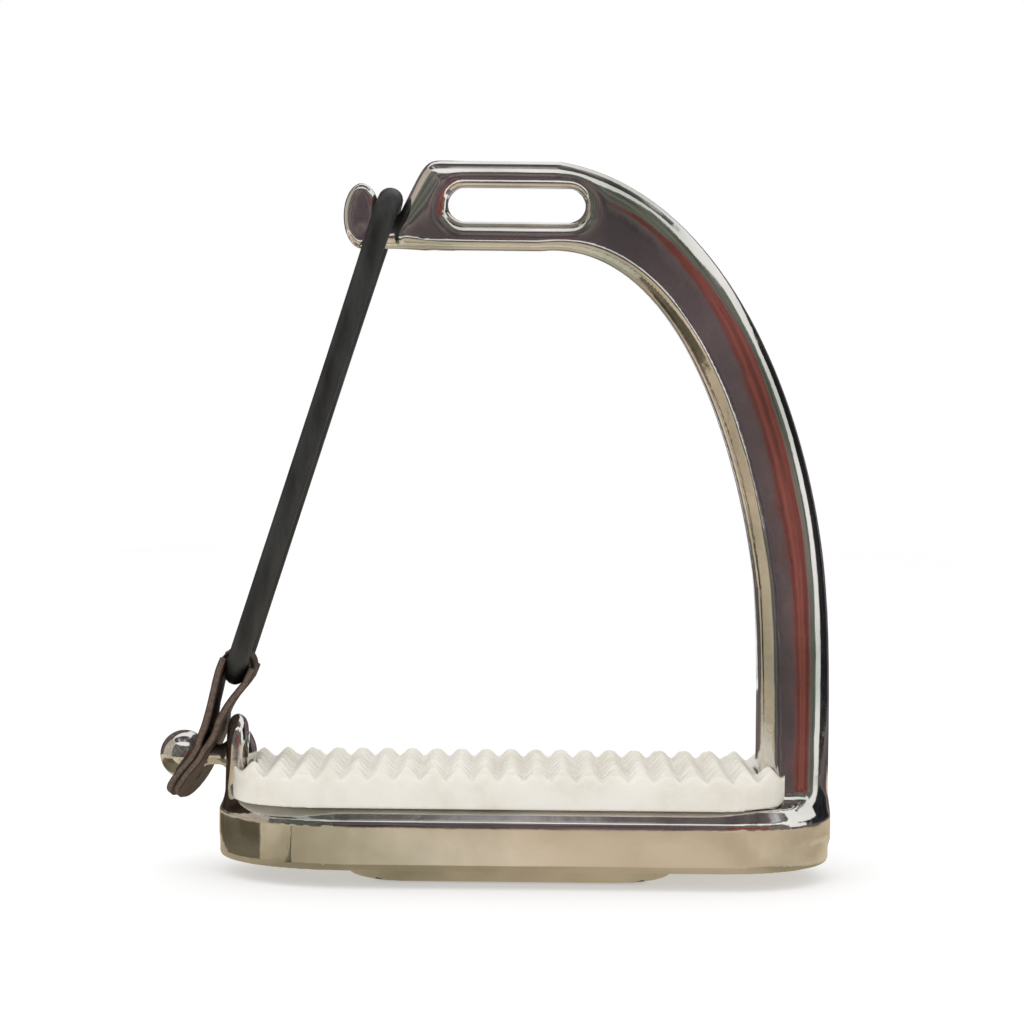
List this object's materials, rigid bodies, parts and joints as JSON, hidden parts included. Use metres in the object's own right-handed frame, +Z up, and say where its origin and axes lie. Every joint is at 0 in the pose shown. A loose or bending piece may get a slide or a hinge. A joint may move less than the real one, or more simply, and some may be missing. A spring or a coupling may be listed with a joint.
{
  "type": "stirrup iron",
  "caption": "Safety stirrup iron with a single cast arm, a ridged rubber tread, and an open side closed by a rubber ring and a buttoned leather tab.",
  "frame": {"origin": "ground under the middle of the tread, on the flat underside of the footplate's collar", "axes": "+Z up to the eye, +X along the tread toward the arm, +Y to the back"},
  "size_m": [0.1607, 0.044, 0.1701],
  "materials": {
    "polished_steel": "polished stainless casting",
    "stud_steel": "polished turned stud",
    "tread_rubber": "matt off-white rubber",
    "ring_rubber": "satin black rubber",
    "tab_leather": "dark brown leather with pale cut edges"
  },
  "bodies": {
    "frame": {"stirrup_frame": "polished_steel", "ball_stud": "stud_steel"},
    "tread": {"tread_pad": "tread_rubber"},
    "ring": {"rubber_ring": "ring_rubber"},
    "tab": {"leather_tab": "tab_leather"}
  },
  "joints": [
    {"name": "ring_swing", "type": "hinge", "parent": "frame", "child": "ring", "pos_m": [-0.02995, 0, 0.1609], "axis": [0, 1, 0], "range_deg": [0, 90], "deforming": ["leather_tab"]},
    {"name": "tab_swing", "type": "hinge", "parent": "ring", "child": "tab", "pos_m": [-0.0664, 0, 0.047], "axis": [0, 1, 0], "range_deg": [0, 90], "deforming": ["leather_tab"]},
    {"name": "tread_pad_lift", "type": "slide", "parent": "frame", "child": "tread", "axis": [0, 0, 1], "range_m": [0, 0.015]}
  ]
}
